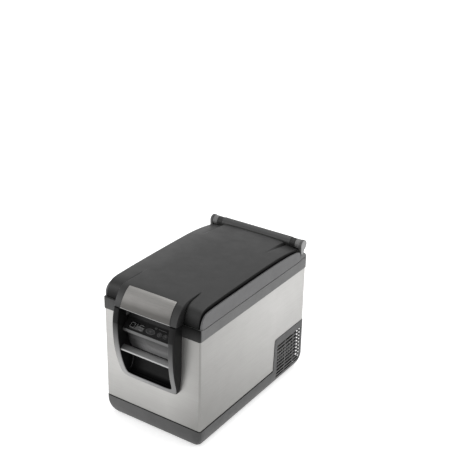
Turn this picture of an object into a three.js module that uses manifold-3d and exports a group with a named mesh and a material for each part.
// Portable compressor cooler fridge, about 47 litres: steel cabinet on a plastic base, end-hinged
// lid, front display with carry handle and lid latch, compressor bay behind vents at the rear.
// Millimetres, +Z up, +X to the right, front end towards -Y. Origin: middle of the overall
// footprint, on the floor. Y is written from the steel front face (y = 0); the whole group is
// shifted at the end.
import * as THREE from "three";
import { mergeVertices } from "three/addons/utils/BufferGeometryUtils.js";
import Module from "manifold-3d";

const wasm = await Module();
wasm.setup();

// ---------------------------------------------------------------- driving dimensions
const GAP = 0.35; // clearance between neighbouring pieces
const HALF_W = 190; // half of the overall width
const STEEL_X = 188; // half width of the steel wrap
const STEEL_L = 628; // length of the steel wrap
const STEEL_T = 1.2;
const CORNER_R = 14.5;
const FRONT_OUT = 44.5; // how far the front bezel stands out
const REAR_OUT = 32.5; // how far the rear handle housing stands out

const BASE_X = 189.5; // half width of the base
const BASE_Y0 = -1;
const BASE_Y1 = STEEL_L + 1.5;
const BASE_BOTTOM = 2;
const BASE_TOP = 70;
const INSIDE_X = 186.5; // half width inside the base and the top rim
const INSIDE_R = 12; // corner radius in there
const RIM_BOTTOM = 398;
const RIM_TOP = 438;
const RIM_L = 630;
const BOOT_Y = 437; // front edge of the boot, the raised rear part of the base
const BOOT_TOP = 192;
const BAY_Y = 425; // compressor bay
const BAY_TOP = 168;

const SLOT_PITCH = 13.6; // vents of the bay
const SLOT_H = 8.4;

const LINER_X = 142; // half width of the tub
const LINER_Y0 = 60;
const LINER_Y1 = 385; // rear end of its deep part
const LINER_Y2 = 575; // rear end of its shallow part
const LINER_Z = 40;
const STEP_Z = 208; // floor of the shallow part
const LINER_T = 2.5;
const LINER_R = 20;

const RECESS_X = 97.5; // half width of the recesses in the front and rear housings
const RECESS_Z = 200; // floor of the front recess
const HOUSING_TUB_X = 108.4; // half width of the parts of the housings let into the cabinet

const HINGE_Y = 605;
const HINGE_Z = 489.5;
const HINGE_ROD_R = 4;
const HINGE_BORE_R = HINGE_ROD_R + GAP;
const HINGE_IN = 161; // inner and outer ends of the hinge sleeves, sideways
const HINGE_OUT = 179.6;

// Limits beyond every piece, for cuts that run clear through.
const FAR_X = 300;
const FAR_FRONT = -90;
const FAR_REAR = 700;
const FAR_BOTTOM = -10;
const FAR_TOP = 600;

const SIDES = [-1, 1]; // left, right

// ---------------------------------------------------------------- finishes
// color, roughness, metalness (0 if absent)
const FINISH = {
  base: [0x55575a, 0.6],
  foot: [0x1b1b1c, 0.9],
  grille: [0x4a4c4f, 0.6],
  steel: [0xb9bbbd, 0.38, 0.9],
  foam: [0xe2d9a8, 0.95],
  liner: [0xd9dcdd, 0.45],
  evaporator: [0xb7b9ba, 0.4, 0.9],
  drain: [0x9a9c9e, 0.6],
  plug: [0x2a2b2c, 0.8],
  rim: [0x505255, 0.6],
  light: [0xf2f4ef, 0.3],
  trim: [0xa2a4a6, 0.4, 0.3],
  housing: [0x2b2c2e, 0.55],
  handle: [0xa9abad, 0.35, 0.8],
  brightLip: [0xb0b2b4, 0.3, 0.8],
  fascia: [0x17181a, 0.35],
  window: [0x101214, 0.1],
  board: [0x1f5b34, 0.5],
  button: [0x2c2e31, 0.5],
  lever: [0x6d6f72, 0.5],
  bareMetal: [0x9a9c9e, 0.3, 1],
  spring: [0x8b8d8f, 0.3, 1],
  inlet: [0x1c1d1e, 0.5],
  compressor: [0x16171a, 0.4],
  mount: [0x202122, 0.9],
  basePlate: [0x9b9d9f, 0.4, 0.9],
  controller: [0x26282b, 0.6],
  powerSupply: [0x77797c, 0.5, 0.6],
  condenser: [0x8c8f91, 0.4, 0.9],
  shroud: [0x1e1f21, 0.6],
  motor: [0x232426, 0.5],
  rotor: [0x2d2f32, 0.5],
  drier: [0xb0713f, 0.35, 0.9],
  pipe: [0xb87a4b, 0.35, 0.9],
  basket: [0xd8dadb, 0.4, 0.3],
  hingeRod: [0x8c8e90, 0.3, 1],
  hingeCap: [0xb4b6b8, 0.4],
  sleeve: [0x85878a, 0.45],
  lidFrame: [0x66686b, 0.6],
  lidCover: [0x2a2b2d, 0.65],
  brushed: [0xb5b7b8, 0.35, 0.9],
  lidLining: [0xd4d7d8, 0.5],
  gasket: [0x1d1e1f, 0.9],
  barrel: [0x3a3c3e, 0.5],
};

// ---------------------------------------------------------------- outlines
// An open line of points moved sideways by distance, to the left of its direction.
function offsetLine(points, distance) {
  return points.map((point, i) => {
    const before = points[Math.max(0, i - 1)];
    const after = points[Math.min(points.length - 1, i + 1)];
    const du = after[0] - before[0];
    const dv = after[1] - before[1];
    const length = Math.hypot(du, dv);
    return [point[0] - (dv / length) * distance, point[1] + (du / length) * distance];
  });
}

// The band between an open line and the same line offset by distance.
const band = (line, distance) => [...line, ...offsetLine(line, distance).reverse()];

// Closed X,Z outline from its right half; points on x = 0 are not repeated.
function symmetric(half) {
  const left = half.filter(([x]) => x !== 0).map(([x, z]) => [-x, z]);
  return [...half, ...left.reverse()];
}

function oval(u, v, radiusU, radiusV, sides) {
  return Array.from({ length: sides }, (_, i) => {
    const angle = (i / sides) * 2 * Math.PI;
    return [u + radiusU * Math.cos(angle), v + radiusV * Math.sin(angle)];
  });
}

// ---------------------------------------------------------------- solids
function solid(geometry) {
  geometry.deleteAttribute("normal");
  geometry.deleteAttribute("uv");
  const merged = mergeVertices(geometry, 1e-4);
  return new wasm.Manifold(
    new wasm.Mesh({
      numProp: 3,
      vertProperties: new Float32Array(merged.attributes.position.array),
      triVerts: new Uint32Array(merged.index.array),
    }),
  );
}

function shape(points) {
  const made = new THREE.Shape();
  points.forEach(([u, v], i) => (i ? made.lineTo(u, v) : made.moveTo(u, v)));
  made.closePath();
  return made;
}

const extrude = (points, depth) =>
  new THREE.ExtrudeGeometry(shape(points), { depth, bevelEnabled: false, steps: 1 });

// Outline in Y,Z pulled along X from x0 to x1.
const yzToXyz = new THREE.Matrix4().set(0, 0, 1, 0, 1, 0, 0, 0, 0, 1, 0, 0, 0, 0, 0, 1);
const prismX = (points, x0, x1) =>
  solid(extrude(points, x1 - x0).applyMatrix4(yzToXyz).translate(x0, 0, 0));

const midPrism = (points, halfX) => prismX(points, -halfX, halfX);

// Outlines pulled clear through the whole product, along X (from Y,Z) and Y (from X,Z).
const throughX = (points) => midPrism(points, FAR_X);
const throughY = (points) =>
  solid(
    extrude(points, FAR_REAR - FAR_FRONT)
      .rotateX(Math.PI / 2)
      .translate(0, FAR_REAR, 0),
  );

const box = (x0, x1, y0, y1, z0, z1) =>
  solid(
    new THREE.BoxGeometry(x1 - x0, y1 - y0, z1 - z0).translate(
      (x0 + x1) / 2,
      (y0 + y1) / 2,
      (z0 + z1) / 2,
    ),
  );

const midBox = (halfX, y0, y1, z0, z1) => box(-halfX, halfX, y0, y1, z0, z1);

const cylinder = (radius, length, sides) =>
  new THREE.CylinderGeometry(radius, radius, length, sides);
const rodX = (y, z, radius, x0, x1, sides) =>
  solid(cylinder(radius, x1 - x0, sides).rotateZ(Math.PI / 2).translate((x0 + x1) / 2, y, z));
const midRod = (y, z, radius, halfX, sides) => rodX(y, z, radius, -halfX, halfX, sides);
const rodY = (x, z, radius, y0, y1, sides) =>
  solid(cylinder(radius, y1 - y0, sides).translate(x, (y0 + y1) / 2, z));
const rodZ = (x, y, radius, z0, z1, sides) =>
  solid(cylinder(radius, z1 - z0, sides).rotateX(Math.PI / 2).translate(x, y, (z0 + z1) / 2));

// Upright block centred on x = 0, rounded at its four vertical edges.
function roundBlock(halfX, y0, y1, radius, z0, z1, steps = 4) {
  const corners = [
    [halfX - radius, y1 - radius, 0],
    [-halfX + radius, y1 - radius, 90],
    [-halfX + radius, y0 + radius, 180],
    [halfX - radius, y0 + radius, 270],
  ];
  const points = [];
  for (const [x, y, startAngle] of corners)
    for (let i = 0; i <= steps; i++) {
      const angle = ((startAngle + (90 * i) / steps) * Math.PI) / 180;
      points.push([x + radius * Math.cos(angle), y + radius * Math.sin(angle)]);
    }
  return solid(extrude(points, z1 - z0).translate(0, 0, z0));
}

// Round wire or pipe along a curve.
const sweep = (curve, radius, steps, sides) =>
  solid(
    new THREE.ExtrudeGeometry(shape(oval(0, 0, radius, radius, sides)), {
      steps,
      bevelEnabled: false,
      extrudePath: curve,
    }),
  );

// x0, x1 of a range given by its distances from the middle, on one side.
const sideRange = (side, inner, outer) => (side > 0 ? [inner, outer] : [-outer, -inner]);

// ---------------------------------------------------------------- base moulding
const EDGE_IN = 32; // rounding of the base's lower edge, sideways
const EDGE_UP = 58; // and upwards
const EDGE_STEPS = 5;
const SLOT_ROWS = 10;
const SLOT_Z0 = 33;
const SIDE_SLOTS = [[455, 505], [509, 559], [563, 612]]; // y0, y1
const GRILLE = { x0: -122, x1: 112, z0: 34, z1: 158 }; // opening in the rear wall
const GRILLE_SLOTS = [[-112, -42], [-38, 32], [36, 104]]; // x0, x1
const GRILLE_ROWS = 8;
const GRILLE_SLOT_Z0 = 42;
const INLET_X = [130, 160]; // openings for the power inlets: x0, x1, then z0, z1 of each
const AC_Z = [112, 142];
const DC_Z = [70, 90];
const FOOT_H = 5;
const FEET = [
  // name, x, y
  ["foot_front_left", -128, 70],
  ["foot_front_right", 128, 70],
  ["foot_rear_left", -128, 558],
  ["foot_rear_right", 128, 558],
];
const DRAIN_X = 70; // drain hole in the tub floor
const DRAIN_Y = 110;
const DRAIN_PIPE_Z = 25; // level run to the left
const DRAIN_OUT_Z = 45; // outlet in the left side

// Side view between u0 and u1 with quarter-elliptical lower edges.
function roundedEdge(u0, u1) {
  const points = [[u1, FAR_TOP]];
  const curve = [];
  for (let i = 0; i <= EDGE_STEPS; i++) {
    const angle = (i / EDGE_STEPS) * (Math.PI / 2);
    const z = BASE_BOTTOM + EDGE_UP - EDGE_UP * Math.sin(angle);
    points.push([u1 - EDGE_IN + EDGE_IN * Math.cos(angle), z]);
    curve.push([u0 + EDGE_IN - EDGE_IN * Math.cos(angle), z]);
  }
  return [...points, ...curve.reverse(), [u0, FAR_TOP]];
}

// The same with straight sloping lower edges.
const slopedEdge = (u0, u1, bottom) => [
  [u1, FAR_TOP], [u1, 62], [u1 - 36, bottom],
  [u0 + 36, bottom], [u0, 62], [u0, FAR_TOP],
];

// Round-cornered block with its lower edges shaped all round.
const basin = (halfX, y0, y1, radius, z0, z1, edge) =>
  roundBlock(halfX, y0, y1, radius, z0, z1)
    .intersect(throughY(edge(-halfX, halfX, z0)))
    .intersect(throughX(edge(y0, y1, z0)));

const boot = (y, top) =>
  throughX([[y - 4, 50], [y + 4, top - 4], [y + 9, top], [FAR_REAR, top], [FAR_REAR, 50]]);

function baseTray() {
  const height = midBox(FAR_X, FAR_FRONT, FAR_REAR, 0, BASE_TOP - 0.3);
  let tray = basin(BASE_X, BASE_Y0, BASE_Y1, 14.5, 0, BOOT_TOP + 10, roundedEdge)
    .intersect(height.add(boot(BOOT_Y, BOOT_TOP)))
    .subtract(basin(INSIDE_X, 2, STEEL_L - 2, INSIDE_R, 8, BOOT_TOP + 20, slopedEdge));
  const rearOpening = (x0, x1, z0, z1) => box(x0, x1, 600, 640, z0, z1);
  for (const side of SIDES)
    for (let i = 0; i < SLOT_ROWS; i++) {
      const z = SLOT_Z0 + i * SLOT_PITCH;
      for (const [y0, y1] of SIDE_SLOTS)
        tray = tray.subtract(box(...sideRange(side, 150, 200), y0, y1, z, z + SLOT_H));
      // a narrow column of vents round the corner, in the rear wall
      tray = tray.subtract(rearOpening(...sideRange(side, 163, 178), z, z + SLOT_H));
    }
  tray = tray
    .subtract(rearOpening(GRILLE.x0, GRILLE.x1, GRILLE.z0, GRILLE.z1))
    .subtract(rearOpening(...INLET_X, ...AC_Z))
    .subtract(rearOpening(...INLET_X, ...DC_Z))
    // drain outlet, the channel down from it and the hole for the level pipe
    .subtract(rodX(DRAIN_Y, DRAIN_OUT_Z, 13, -200, -184.4, 16))
    .subtract(rodX(DRAIN_Y, DRAIN_OUT_Z, 9, -185, -160, 16))
    .subtract(box(-178.5, -160, DRAIN_Y - 5, DRAIN_Y + 5, 19, 52))
    .subtract(rodX(DRAIN_Y, DRAIN_PIPE_Z, 6.2, -178.5, -150, 12));
  for (const [, x, y] of FEET) tray = tray.subtract(rodZ(x, y, 20, -5, FOOT_H, 20));
  return tray;
}

const foot = (x, y) => rodZ(x, y, 19.6, 0, FOOT_H - GAP, 20);

// Grille in the rear wall of the compressor bay.
function rearGrille() {
  const { x0, x1, z0, z1 } = GRILLE;
  let grille = box(x0 + GAP, x1 - GAP, 626.4, 629.2, z0 + GAP, z1 - GAP);
  for (let i = 0; i < GRILLE_ROWS; i++) {
    const z = GRILLE_SLOT_Z0 + i * SLOT_PITCH;
    for (const [left, right] of GRILLE_SLOTS)
      grille = grille.subtract(box(left, right, 620, 635, z, z + SLOT_H));
  }
  return grille;
}

// ---------------------------------------------------------------- steel wrap
function cabinetShell() {
  const wrap = (inset, z0, z1) =>
    roundBlock(STEEL_X - inset, inset, STEEL_L - inset, CORNER_R - inset, z0, z1, 5);
  return wrap(0, BASE_TOP, RIM_BOTTOM - GAP)
    .subtract(wrap(STEEL_T, FAR_BOTTOM, FAR_TOP))
    .subtract(boot(BOOT_Y - 0.5, BOOT_TOP + 0.4))
    .subtract(midBox(109, FAR_FRONT, 20, RECESS_Z - 6.4, FAR_TOP))
    .subtract(midBox(109, 600, FAR_REAR, 195.2, FAR_TOP));
}

// ---------------------------------------------------------------- foam, liner, evaporator, drain
// Stepped tub, deep in front and shallow behind, larger by grow at the sides and floor.
function tub(grow, top) {
  const part = (rear, floor) =>
    roundBlock(LINER_X + grow, LINER_Y0 - grow, rear + grow, LINER_R, floor - grow, top, 3);
  return part(LINER_Y2, STEP_Z).add(part(LINER_Y1, LINER_Z));
}

function insulationFoam() {
  const evaporatorSpace = midBox(150, 52.5, 382, 88, 332).subtract(midBox(140, 70, 383, 80, 340));
  return basin(186.1, 2.4, STEEL_L - 2.4, INSIDE_R, 8.4, RIM_TOP - 4.4, slopedEdge)
    .subtract(tub(LINER_T + GAP, FAR_TOP))
    .subtract(midBox(FAR_X, BAY_Y, FAR_REAR, FAR_BOTTOM, BAY_TOP))
    // front housing, latch pocket, rear housing
    .subtract(midBox(110, FAR_FRONT, 42.5, RECESS_Z - 7.4, 399))
    .subtract(midBox(103, FAR_FRONT, 46, 395, FAR_TOP))
    .subtract(midBox(110, 592, FAR_REAR, 194.6, RIM_BOTTOM + 5))
    .subtract(evaporatorSpace)
    // drain
    .subtract(rodX(DRAIN_Y, DRAIN_PIPE_Z, 6.5, -200, 77, 12))
    .subtract(rodX(DRAIN_Y, DRAIN_OUT_Z, 9.4, -200, -160, 16))
    .subtract(box(-190, -160, DRAIN_Y - 5.5, DRAIN_Y + 5.5, 18, 54))
    .subtract(rodZ(DRAIN_X, DRAIN_Y, 6.5, 18.8, 60, 12));
}

const innerLiner = () =>
  tub(LINER_T, RIM_TOP - 4.2)
    .subtract(tub(0, FAR_TOP))
    .subtract(rodZ(DRAIN_X, DRAIN_Y, 5, 20, 60, 12));

// U-shaped sheet round the front and sides of the deep part, open to the rear.
const evaporatorPlate = () =>
  midBox(148.6, 53.6, 380, 90, 330).subtract(midBox(146, 56.2, 400, 80, 340));

// From the tub floor down and out to the left side.
const drainTube = () =>
  rodZ(DRAIN_X, DRAIN_Y, 4.4, 19.5, 39, 12)
    .add(rodX(DRAIN_Y, DRAIN_PIPE_Z, 5.5, -178, 75.5, 12))
    .add(rodX(DRAIN_Y, DRAIN_OUT_Z, 8.4, -184, -176, 16))
    .add(box(-178, -170, DRAIN_Y - 4.5, DRAIN_Y + 4.5, 20, 45))
    .subtract(rodX(DRAIN_Y, DRAIN_OUT_Z, 5.6, -190, -179, 12));

// Stem and head, with a pocket in the head on each side of a bar left between them.
const drainPlug = () =>
  rodX(DRAIN_Y, DRAIN_OUT_Z, 5, -189.2, -179.6, 12)
    .add(rodX(DRAIN_Y, DRAIN_OUT_Z, 11, -189.4, -186.2, 16))
    .subtract(box(-192, -187.8, DRAIN_Y - 9, DRAIN_Y - 2, 40, 50))
    .subtract(box(-192, -187.8, DRAIN_Y + 2, DRAIN_Y + 9, 40, 50));

// ---------------------------------------------------------------- top rim
// y, z
const HINGE_POST = [
  [590, RIM_TOP - 1], [590, 454], [594, 457], [616, 457], [626, 445], [628, RIM_TOP - 1],
];
const POST_HEAD = [[592, 452], [592, 470], [596, 472.4], [614, 472.4], [622, 462], [626, 445]];

function topRim() {
  let rim = roundBlock(HALF_W, -2, RIM_L, 15, RIM_BOTTOM, RIM_TOP)
    .subtract(roundBlock(INSIDE_X, 1.5, RIM_L - 3.5, INSIDE_R, FAR_BOTTOM, RIM_TOP - 4))
    // walls of the latch pocket
    .add(midBox(101.5, -2, 44.5, RIM_BOTTOM, RIM_TOP - 2))
    .subtract(midBox(98.5, FAR_FRONT, 41.5, FAR_BOTTOM, FAR_TOP))
    .subtract(roundBlock(LINER_X, LINER_Y0, LINER_Y2, LINER_R, FAR_BOTTOM, FAR_TOP, 3));
  for (const side of SIDES)
    rim = rim
      .add(prismX(HINGE_POST, ...sideRange(side, 160, 188)))
      .add(prismX(POST_HEAD, ...sideRange(side, HINGE_IN, HINGE_OUT)));
  return rim;
}

const interiorLight = () => midBox(32, 571.4, LINER_Y2 - GAP, 384, 398);

// ---------------------------------------------------------------- front housing, bezel and handle
// Shield outline, right half: x, z.
const SHIELD = [
  [0, 181.5], [60, 182.5], [90, 184], [102, 187], [108.5, 192.5], [111.5, 201], [113, 212],
  [114, 225], [116, 252], [117.6, 300], [118.4, 330], [119.2, 352], [119.6, 400], [119.2, 437.6],
];
// Edge of the recess, right half: x, z.
const RECESS_EDGE = [
  [0, 199.6], [60, 200], [84, 201.5], [91, 206], [93.5, 220], [98, 278], [101, 337],
  [98.4, 378], [98, 438],
];
// Inner edge of the silver trim, right half: x, z.
const TRIM_IN = [
  [0, 198], [60, 198.6], [80, 199.8], [88, 203], [91, 209], [92.6, 222], [94, 240],
  [95.2, 270], [96.6, 300], [98.3, 330], [98.8, 350], [98.2, 378], [97.9, 438],
];
// Front face of the housing, side view: y, z.
const FACE = [
  [-8.5, 178], [-12.6, 190], [-15.6, 200], [-18.8, 210], [-23.8, 225], [-28.4, 240],
  [-32.6, 255], [-36, 270], [-38.8, 285], [-41, 300], [-43.2, 322], [-FRONT_OUT, 347],
  [-FRONT_OUT, 374], [-43.8, 389], [-42, 405], [-38.8, 421], [-34, 439],
];
const HOUSING_BACK = [[-2.4, 440], [-2.4, 396], [-GAP, 396], [-GAP, 178]]; // y, z
// Hollow of the recess, side view: y, z.
const RECESS = [
  [FAR_FRONT, RECESS_Z], [4, RECESS_Z], [16, RECESS_Z + 5], [24, RECESS_Z + 17],
  [27, RECESS_Z + 39], [27, 340], [39.4, 346], [39.4, FAR_TOP], [FAR_FRONT, FAR_TOP],
];
const HANDLE = [
  // y, z
  [-34.2, 291.6], [-32.6, 290], [-17.6, 293.4], [-15.2, 296.6],
  [-15.2, 303], [-17.4, 304.8], [-32.6, 296.6], [-34.2, 295],
];
const DISPLAY_LIP = [
  // y, z
  [-20, 355], [-18, 354], [-13.5, 355.5], [-13.5, 363], [-18.5, 366], [-20, 364.5],
];
const TRIM_TOP = 388; // the silver rails end here, and the dark housing carries on above
const TRIM_T = 3;
const PIVOT_Y = 2; // latch lever pivot
const PIVOT_Z = 350;

// Right-half outline carried straight to the level top, mirrored and pulled through along Y.
const shieldPrism = (half, top) => throughY(symmetric([...half, [half.at(-1)[0], top]]));

// A bar filling the width of the recess.
const recessBar = (points) => midPrism(points, RECESS_X - GAP);

// A U of two rails and a bottom rail.
const bezelTrim = () =>
  throughX(band(FACE, -TRIM_T))
    .intersect(shieldPrism(SHIELD, 437.6))
    .intersect(midBox(FAR_X, FAR_FRONT, FAR_REAR, FAR_BOTTOM, TRIM_TOP))
    .subtract(shieldPrism(TRIM_IN, FAR_TOP));

// Behind the trim, with a tub let into the cabinet.
function frontHousing() {
  const aboveTrim = midBox(FAR_X, FAR_FRONT, FAR_REAR, TRIM_TOP + GAP, FAR_TOP);
  const recess = midPrism(RECESS, RECESS_X).intersect(shieldPrism(RECESS_EDGE, FAR_TOP));
  return throughX([...offsetLine(FACE, -TRIM_T - 0.4), ...HOUSING_BACK])
    .add(throughX([...FACE, ...HOUSING_BACK]).intersect(aboveTrim))
    .intersect(shieldPrism(SHIELD, 437.6))
    .add(midBox(HOUSING_TUB_X, -0.6, 41.8, RECESS_Z - 5.4, RIM_BOTTOM - GAP))
    .subtract(recess)
    .subtract(midRod(PIVOT_Y, PIVOT_Z, 2.6, 102, 12));
}

// ---------------------------------------------------------------- control panel
// Sloping up and back from the lip: y, z of its low and high edges.
const PANEL_LOW = [-17.7, 366.4];
const PANEL_HIGH = [13.6, 391.7];
const PANEL_L = Math.hypot(PANEL_HIGH[0] - PANEL_LOW[0], PANEL_HIGH[1] - PANEL_LOW[1]);
// unit directions in y, z: up the slope, and out of the face
const UP_SLOPE = [0, 1].map((i) => (PANEL_HIGH[i] - PANEL_LOW[i]) / PANEL_L);
const OUT_OF_FACE = [-UP_SLOPE[1], UP_SLOPE[0]];
const BUTTONS = [
  // name, x, place up the slope, radius in x, radius up the slope
  ["button_set", 1.5, 16, 16, 8.5],
  ["button_down", 37, 16, 7, 6],
  ["button_up", 59, 16, 7, 6],
  ["button_power", 80, 16, 6, 6],
];
const WINDOW = { x0: -82, x1: -24, low: 5, high: 29 }; // low and high are up the slope
const panelTilt = new THREE.Matrix4().makeBasis(
  new THREE.Vector3(1, 0, 0),
  new THREE.Vector3(0, ...UP_SLOPE),
  new THREE.Vector3(0, ...OUT_OF_FACE),
);

// y, z of a place given up the slope and out of the face.
const onPanel = (up, out) =>
  [0, 1].map((i) => PANEL_LOW[i] + UP_SLOPE[i] * up + OUT_OF_FACE[i] * out);

const panelBox = (x0, x1, low, high, out0, out1) =>
  prismX([onPanel(low, out0), onPanel(high, out0), onPanel(high, out1), onPanel(low, out1)], x0, x1);

const panelPad = (x, up, radiusX, radiusUp, out0, out1) =>
  solid(
    extrude(oval(x, up, radiusX, radiusUp, 20), out1 - out0)
      .translate(0, 0, out0)
      .applyMatrix4(panelTilt)
      .translate(0, ...PANEL_LOW),
  );

// The display window's opening, smaller all round by inset.
const windowBox = (inset, out0, out1) => {
  const { x0, x1, low, high } = WINDOW;
  return panelBox(x0 + inset, x1 - inset, low + inset, high - inset, out0, out1);
};

// The panel, and a short wall behind it under the lid's tongue.
function controlFascia() {
  let fascia = recessBar([
    onPanel(0.6, 0),
    PANEL_HIGH,
    [15, 425], [18, 425], [17, 390],
    onPanel(PANEL_L - 2, -3.2),
    onPanel(0.6, -3.2),
  ]).subtract(windowBox(0, -8, 8));
  for (const [, x, up, radiusX, radiusUp] of BUTTONS)
    fascia = fascia.subtract(panelPad(x, up, radiusX + 0.4, radiusUp + 0.4, -8, 8));
  return fascia;
}

const button = (x, up, radiusX, radiusUp) => panelPad(x, up, radiusX, radiusUp, -3, 0.9);

// ---------------------------------------------------------------- latch
// y, z
const PADDLE_FACE = [[-3.6, 350], [-5, 338], [-3.4, 322], [1.4, 306], [7.4, 293], [10, 288]];
const LATCH_ARM = [
  // y, z, ending in a hook at the top
  [0, 347], [7, 345], [29, 364], [29, 431], [9, 431],
  [7, 429], [9, 426.5], [24, 426.5], [24, 367], [2, 354],
];
const LEVER_X = 90; // half width of the lever
const SPRING = { halfLength: 9, radius: 3.9, turns: 3.5, wireRadius: 0.6 };

// Paddle hinged under the display, with two arms up to the strikers of the lid.
function latchLever() {
  let lever = midPrism(band(PADDLE_FACE, 3.6), LEVER_X).add(
    midRod(PIVOT_Y, PIVOT_Z, 5.6, LEVER_X, 16),
  );
  for (const side of SIDES) lever = lever.add(prismX(LATCH_ARM, ...sideRange(side, 58, 66)));
  return lever
    .subtract(midRod(PIVOT_Y, PIVOT_Z, 2.7, 120, 12))
    .subtract(midBox(14, -4, 12, 343, 360)); // notch for the spring
}

// Centre line of the spring, round the pin.
class Helix extends THREE.Curve {
  getPoint(t, target = new THREE.Vector3()) {
    const angle = t * 2 * Math.PI * SPRING.turns;
    return target.set(
      SPRING.halfLength * (2 * t - 1),
      PIVOT_Y + SPRING.radius * Math.cos(angle),
      PIVOT_Z + SPRING.radius * Math.sin(angle),
    );
  }
}

// ---------------------------------------------------------------- rear housing and handle
const toRear = (points) => points.map(([y, z]) => [STEEL_L - y, z]);

function rearHousing() {
  const face = FACE.slice(0, -1).map(([y, z]) => [y * (REAR_OUT / FRONT_OUT), z]);
  const back = RIM_L + GAP;
  const recess = midBox(RECESS_X, 596, FAR_REAR, 204, 376);
  return throughX([...toRear(face), [back, 430], [back, 178]])
    .intersect(shieldPrism([...SHIELD.slice(0, -2), [119.2, 394]], 394.5))
    .add(midBox(HOUSING_TUB_X, 593, RIM_L + 1, 196, RIM_BOTTOM - GAP))
    .subtract(recess.intersect(shieldPrism(RECESS_EDGE, 376)));
}

// The front handle's section, 6 mm less far out and 14 mm higher.
const rearHandle = () => recessBar(toRear(HANDLE).map(([y, z]) => [y - 6, z + 14]));

// ---------------------------------------------------------------- power inlets
const inletBody = ([z0, z1]) => box(INLET_X[0] + 1, INLET_X[1] - 1, 606, 631, z0 + 1, z1 - 1);

const dcInlet = () =>
  inletBody(DC_Z)
    .subtract(box(134, 156, 616, 640, 74, 86))
    .add(rodY(140, 80, 2, 610, 628, 10))
    .add(rodY(150, 80, 2, 610, 628, 10));

const acInlet = () =>
  inletBody(AC_Z)
    .subtract(rodY(145, 127, 11, 614, 640, 16))
    .add(rodY(140.5, 127, 1.8, 606, 628, 10))
    .add(rodY(149.5, 127, 1.8, 606, 628, 10));

// ---------------------------------------------------------------- compressor bay
const COMPRESSOR_X = -42;
const COMPRESSOR_Y = 520;
const DOME = [
  // radius, z
  [0, 22], [40, 22], [52, 30], [57, 44], [57, 78], [59, 80], [59, 84],
  [57, 86], [57, 118], [50, 134], [36, 143], [16, 147], [0, 147],
];
const LUG = 46; // reach of the compressor's corner lugs, in x and y
const FIN_COUNT = 12; // gaps between the condenser's fins
const FIN_PITCH = 12.2;
const FAN_Y = 522;
const FAN_Z = 84;
const FAN_R = 56;
const SPOKE_IN = 10;
const SPOKE_L = FAN_R - 1.2 - SPOKE_IN;
const BLADE_COUNT = 7;
const BLADE_IN = 15;
const BLADE_L = 37;
const BLADE_PITCH = -0.95; // radians about the blade's length
const SUCTION_PATH = [
  // x, y, z
  [26, 506, 96], [38, 494, 116], [30, 466, 138], [-10, 444, 150], [-90, 440, 156], [-140, 442, 158],
];

function compressor() {
  let body = solid(
    new THREE.LatheGeometry(DOME.map(([radius, z]) => new THREE.Vector2(radius, z)), 24)
      .rotateX(Math.PI / 2)
      .translate(COMPRESSOR_X, COMPRESSOR_Y, 0),
  );
  for (const sideY of SIDES)
    for (const sideX of SIDES) {
      const xs = sideRange(sideX, LUG / 2, LUG).map((x) => COMPRESSOR_X + x);
      const ys = sideRange(sideY, LUG / 2, LUG).map((y) => COMPRESSOR_Y + y);
      body = body.add(box(...xs, ...ys, 20, 26));
    }
  return body;
}

// Rubber rail under the compressor's lugs, dy from its middle.
function compressorMount(dy) {
  const y = COMPRESSOR_Y + dy;
  return box(COMPRESSOR_X - 48, COMPRESSOR_X + 48, y - 7, y + 7, 13.6, 19.6);
}

// Finned block facing the right-hand vents.
function condenser() {
  let block = box(124, 158, 444, 600, 36, 104);
  for (let i = 0; i < FIN_COUNT; i++)
    block = block.subtract(box(140, 170, 449 + i * FIN_PITCH, 457 + i * FIN_PITCH, 30, 110));
  return block;
}

const fanRod = (radius, x0, x1, sides) => rodX(FAN_Y, FAN_Z, radius, x0, x1, sides);

const fanShroud = () => box(88, 118, 460, 584, 20, 148).subtract(fanRod(FAN_R, 80, 130, 28));

// A radial arm turned about the fan's axis and put at x.
const fanArm = (geometry, angle, x) =>
  solid(geometry.rotateX(angle).translate(x, FAN_Y, FAN_Z));

// Motor on four spokes, with its shaft.
function fanMotor() {
  let motor = fanRod(17, 89, 101, 16);
  for (const degrees of [45, 135, 225, 315]) {
    const spoke = new THREE.BoxGeometry(3, SPOKE_L, 5).translate(0, SPOKE_IN + SPOKE_L / 2, 0);
    motor = motor.add(fanArm(spoke, (degrees * Math.PI) / 180, 90.5));
  }
  return motor.add(fanRod(2, 95, 108, 10));
}

function fanRotor() {
  const sweptSpace = box(101.6, 116, FAR_FRONT, FAR_REAR, FAR_BOTTOM, FAR_TOP);
  let rotor = fanRod(18, 102, 115, 16);
  for (let i = 0; i < BLADE_COUNT; i++) {
    const blade = new THREE.BoxGeometry(1.8, BLADE_L, 22)
      .rotateY(BLADE_PITCH)
      .translate(0, BLADE_IN + BLADE_L / 2, 0);
    const angle = (i / BLADE_COUNT) * 2 * Math.PI;
    rotor = rotor.add(fanArm(blade, angle, 108.5).intersect(sweptSpace));
  }
  return rotor.subtract(fanRod(2.5, 90, 110, 10));
}

const filterDrier = () =>
  rodY(40, 158, 7, 446, 500, 14).add(rodY(40, 158, 3, 438, 510, 10));

function suctionLine() {
  const path = SUCTION_PATH.map((point) => new THREE.Vector3(...point));
  return sweep(new THREE.CatmullRomCurve3(path), 3.6, 18, 8);
}

// ---------------------------------------------------------------- basket
const basket = () => midBox(132, 70, 375, 46, 372).subtract(midBox(129, 73, 372, 49, 400));

// ---------------------------------------------------------------- hinge
const CAP_X = 180; // inner face of the end caps
// y, z of the cap's leg
const CAP_LEG = [[588.4, 488], [587.9, 470], [590, 457.4], [604, 457.4], [616, 475]];

const hingeBore = () => midRod(HINGE_Y, HINGE_Z, HINGE_BORE_R, 200, 12);

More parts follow.
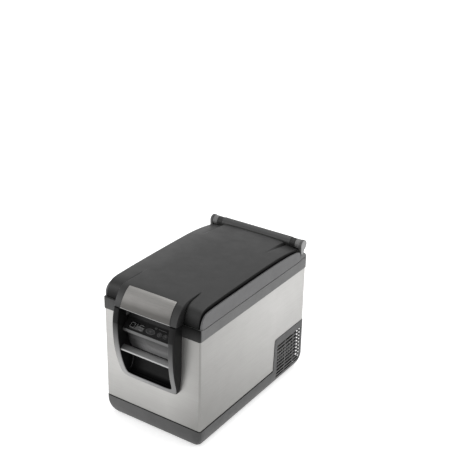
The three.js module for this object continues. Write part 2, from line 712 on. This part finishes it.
function hingeCap(side) {
  const ends = sideRange(side, CAP_X, HALF_W);
  return rodX(HINGE_Y, HINGE_Z, 18, ...ends, 28)
    .add(prismX(CAP_LEG, ...ends))
    .subtract(rodX(HINGE_Y, HINGE_Z, HINGE_BORE_R, ...sideRange(side, 170, 186), 12));
}

const hingeSleeve = (side) =>
  rodX(HINGE_Y, HINGE_Z, 16.5, ...sideRange(side, HINGE_IN, HINGE_OUT), 24).subtract(hingeBore());

// ---------------------------------------------------------------- lid
const LID_BOTTOM = 438.6;
const LID_REAR = 589;
const COVER_X = 178.5;
const SKIRT_IN = 182; // inner half width between the side skirts
const LEAN_X = 185.2; // half width of the side skirts at their top edge
const LID_WALL = 3;
const TONGUE_X = 119; // half widths of the lid's front tongue and of the plate on it
const PLATE_X = 94;
const FOAM_X = 174;
// Side skirt, side view: y, z.
const SKIRT = [
  [6, LID_BOTTOM], [7.5, 446], [10, 455], [14, 464], [19, 471.5], [26, 477.5], [36, 481],
  [52, 483], [80, 484.2], [150, 485.2], [330, 485.6], [420, 484.6], [484, 482.4], [557, 476],
  [577, 472], [586, 464], [LID_REAR, LID_BOTTOM],
];
// The skirts lean inwards, front view, right half: x, z.
const LEAN = [[HALF_W, 430], [HALF_W, 441], [LEAN_X, 497], [LEAN_X, 520]];
// Top cover, side view: y, z.
const CROWN = [
  [2.6, 439.4], [4, 455], [8, 470], [13, 481], [21, 489.5], [31, 495.5], [48, 500.5],
  [75, 503.5], [150, 506], [330, 506.5], [420, 505.5], [484, 503], [557, 496.5], [574, 493],
  [584, 487],
];
// Top cover, front view, right half: x, z.
const ARCH_TOP = [[0, 507], [70, 506], [130, 503], [165, 499]];
const ARCH_EDGE_Z = 496.6;
const ARCH_FOOT_Z = 430;
// Front tongue, side view: y, z.
const TONGUE = [
  [-32, 440.6], [-30.2, 449], [-26.4, 459], [-21, 469], [-14.3, 478.8], [-8.5, 486],
  [-2.7, 492], [3.3, 497], [9.9, 500.8], [18, 503], [32, 504.8],
];
const LID_FOAM_SIDE = [
  // y, z
  [34, 444.5], [34, 484], [52, 492], [150, 498], [330, 499],
  [484, 494.5], [557, 488], [580, 478], [580, 444.5],
];
const LID_FOAM_FRONT = [[70, 498.5], [130, 494], [FOAM_X, 485], [FOAM_X, 430]]; // right half: x, z
const LEAF = [
  // y, z
  [589.6, 448], [595, 448], [597, 470], [610, 482],
  [610, 492], [594, 498], [588, 489], [589, 480],
];

// Side skirts and rear wall.
function lidSideFrame() {
  let frame = midPrism(SKIRT, HALF_W)
    .intersect(roundBlock(HALF_W, 2.4, LID_REAR + 30, 14, 400, FAR_TOP))
    .intersect(throughY(symmetric(LEAN)))
    .subtract(midBox(SKIRT_IN, FAR_FRONT, 585, 444.3, FAR_TOP))
    .subtract(midBox(SKIRT_IN, FAR_FRONT, 26, 400, FAR_TOP))
    .subtract(midBox(159, FAR_FRONT, 584.4, 400, FAR_TOP))
    .subtract(midBox(175, FAR_FRONT, 575, 400, 441));
  // clear of the hinge posts
  for (const side of SIDES)
    frame = frame.subtract(box(...sideRange(side, 157, FAR_X), 586.4, FAR_REAR, 400, FAR_TOP));
  return frame;
}

// Crowned shell that wraps down the front, with the tongue in the middle.
function lidTopCover() {
  const arch = [...ARCH_TOP, [COVER_X, ARCH_EDGE_Z], [COVER_X, ARCH_FOOT_Z]];
  const archInside = [
    ...ARCH_TOP.map(([x, z]) => [x, z - LID_WALL]),
    [COVER_X * 1.2, ARCH_EDGE_Z - LID_WALL - 4],
    [COVER_X * 1.2, ARCH_FOOT_Z],
  ];
  const crownInside = offsetLine(CROWN, -LID_WALL);
  const hollow = throughX([
    ...crownInside.slice(1, -1),
    [581, 484], [581, 400], [crownInside[0][0] + 0.6, 400],
  ]).intersect(throughY(symmetric(archInside)));
  const tongue = midPrism([...TONGUE, [60, 506], [60, 440.6]], TONGUE_X);
  const tongueHollow = midPrism(
    [...offsetLine(TONGUE, -LID_WALL).slice(1), [70, 501], [70, 443.6], [-28.6, 443.6]],
    TONGUE_X - LID_WALL,
  );
  return midPrism([...CROWN, [584, 445], [24, 445], [24, 439.4]], COVER_X)
    .intersect(throughY(symmetric(arch)))
    .subtract(hollow)
    .add(tongue.subtract(midBox(200, 26, 90, 430, 499)))
    .subtract(tongueHollow)
    .subtract(midBox(200, 26, 90, 430, 470));
}

// Brushed plate on the tongue.
function lidBadgePlate() {
  const line = TONGUE.slice(0, 9);
  return midPrism([...offsetLine(line, 1.6), ...offsetLine(line, GAP).reverse()], PLATE_X);
}

// Lining plate with a hollow plug that drops into the tub mouth.
const lidInnerPanel = () =>
  midBox(158.6, 26.4, 584, 441, 444)
    .add(roundBlock(133, 72, 560, 18, 427, 441.5, 3))
    .subtract(roundBlock(130, 75, 557, 15, 430, 450, 3));

const lidGasket = () =>
  roundBlock(153, 48, 583, 24, RIM_TOP + GAP, 440.65, 3).subtract(
    roundBlock(146, 55, 577, 20, FAR_BOTTOM, FAR_TOP, 3),
  );

const lidFoam = () =>
  midPrism(LID_FOAM_SIDE, FOAM_X)
    .intersect(throughY(symmetric(LID_FOAM_FRONT)))
    .subtract(midBox(TONGUE_X, 0, 62, 400, FAR_TOP))
    .add(roundBlock(129.5, 75.5, 556.5, 15, 430.5, 446, 3));

// Bracket under the tongue with two tabs for the latch hooks.
function lidStriker() {
  let striker = midBox(70, -8, 6, 436.8, 439.05);
  for (const side of SIDES)
    striker = striker.add(box(...sideRange(side, 57, 67), 1.4, 5.6, 421, 438));
  return striker;
}

// Hinge barrel of the lid, on a leaf behind the lid's rear wall.
const lidHingeBarrel = () =>
  midRod(HINGE_Y, HINGE_Z, 17.5, 160, 28).add(midPrism(LEAF, 152)).subtract(hingeBore());

// ---------------------------------------------------------------- assembly
function add(group, name, made, [color, roughness, metalness = 0]) {
  const { vertProperties, triVerts } = made.getMesh();
  const geometry = new THREE.BufferGeometry()
    .setAttribute("position", new THREE.BufferAttribute(new Float32Array(vertProperties), 3))
    .setIndex(new THREE.BufferAttribute(new Uint32Array(triVerts), 1));
  geometry.computeVertexNormals();
  const material = new THREE.MeshStandardMaterial({ color, roughness, metalness });
  const mesh = new THREE.Mesh(geometry, material);
  mesh.name = name;
  group.add(mesh);
}

// name, solid, finish
const CABINET_PIECES = [
  ["base_tray", baseTray(), FINISH.base],
  ...FEET.map(([name, x, y]) => [name, foot(x, y), FINISH.foot]),
  ["rear_grille", rearGrille(), FINISH.grille],
  ["cabinet_shell", cabinetShell(), FINISH.steel],
  ["insulation_foam", insulationFoam(), FINISH.foam],
  ["inner_liner", innerLiner(), FINISH.liner],
  ["evaporator_plate", evaporatorPlate(), FINISH.evaporator],
  ["drain_tube", drainTube(), FINISH.drain],
  ["drain_plug", drainPlug(), FINISH.plug],
  ["top_rim", topRim(), FINISH.rim],
  ["interior_light", interiorLight(), FINISH.light],
  ["bezel_trim", bezelTrim(), FINISH.trim],
  ["front_housing", frontHousing(), FINISH.housing],
  ["carry_handle_front", recessBar(HANDLE), FINISH.handle],
  ["display_trim_strip", recessBar(DISPLAY_LIP), FINISH.brightLip],
  ["control_fascia", controlFascia(), FINISH.fascia],
  ["display_window", windowBox(GAP, -2.6, -0.3), FINISH.window],
  ["display_board", panelBox(-88, 90, 3, 33, -6.6, -5), FINISH.board],
  ...BUTTONS.map(([name, ...place]) => [name, button(...place), FINISH.button]),
  ["latch_lever", latchLever(), FINISH.lever],
  ["latch_pin", midRod(PIVOT_Y, PIVOT_Z, 2.3, 101, 12), FINISH.bareMetal],
  ["latch_spring", sweep(new Helix(), SPRING.wireRadius, 34, 5), FINISH.spring],
  ["rear_housing", rearHousing(), FINISH.housing],
  ["carry_handle_rear", rearHandle(), FINISH.handle],
  ["dc_inlet", dcInlet(), FINISH.inlet],
  ["ac_inlet", acInlet(), FINISH.inlet],
  ["compressor", compressor(), FINISH.compressor],
  ["compressor_mount_front", compressorMount(-40), FINISH.mount],
  ["compressor_mount_rear", compressorMount(40), FINISH.mount],
  ["compressor_base_plate", box(-106, 66, 436, 586, 11, 13.2), FINISH.basePlate],
  ["compressor_controller", box(-116, -103.5, 478, 562, 50, 112), FINISH.controller],
  ["power_supply_module", box(-176, -124, 452, 596, 68, 128), FINISH.powerSupply],
  ["condenser", condenser(), FINISH.condenser],
  ["fan_shroud", fanShroud(), FINISH.shroud],
  ["fan_motor", fanMotor(), FINISH.motor],
  ["fan_rotor", fanRotor(), FINISH.rotor],
  ["filter_drier", filterDrier(), FINISH.drier],
  ["suction_line", suctionLine(), FINISH.pipe],
  ["wire_basket", basket(), FINISH.basket],
  ["basket_divider", midBox(128.4, 228, 231, 50, 352), FINISH.basket],
  ["hinge_rod", midRod(HINGE_Y, HINGE_Z, HINGE_ROD_R, 185, 12), FINISH.hingeRod],
  ["hinge_cap_left", hingeCap(-1), FINISH.hingeCap],
  ["hinge_cap_right", hingeCap(1), FINISH.hingeCap],
  ["hinge_sleeve_left", hingeSleeve(-1), FINISH.sleeve],
  ["hinge_sleeve_right", hingeSleeve(1), FINISH.sleeve],
];
const LID_PIECES = [
  ["lid_side_frame", lidSideFrame(), FINISH.lidFrame],
  ["lid_top_cover", lidTopCover(), FINISH.lidCover],
  ["lid_badge_plate", lidBadgePlate(), FINISH.brushed],
  ["lid_inner_panel", lidInnerPanel(), FINISH.lidLining],
  ["lid_gasket", lidGasket(), FINISH.gasket],
  ["lid_foam", lidFoam(), FINISH.foam],
  ["lid_striker", lidStriker(), FINISH.bareMetal],
  ["lid_hinge_barrel", lidHingeBarrel(), FINISH.barrel],
];

const cooler = new THREE.Group();
cooler.name = "compressor_cooler_fridge";
for (const pieces of [CABINET_PIECES, LID_PIECES]) {
  const group = new THREE.Group();
  cooler.add(group);
  for (const piece of pieces) add(group, ...piece);
}

// The origin is the middle of the overall length.
cooler.position.y = -(STEEL_L + REAR_OUT - FRONT_OUT) / 2;
export default cooler;
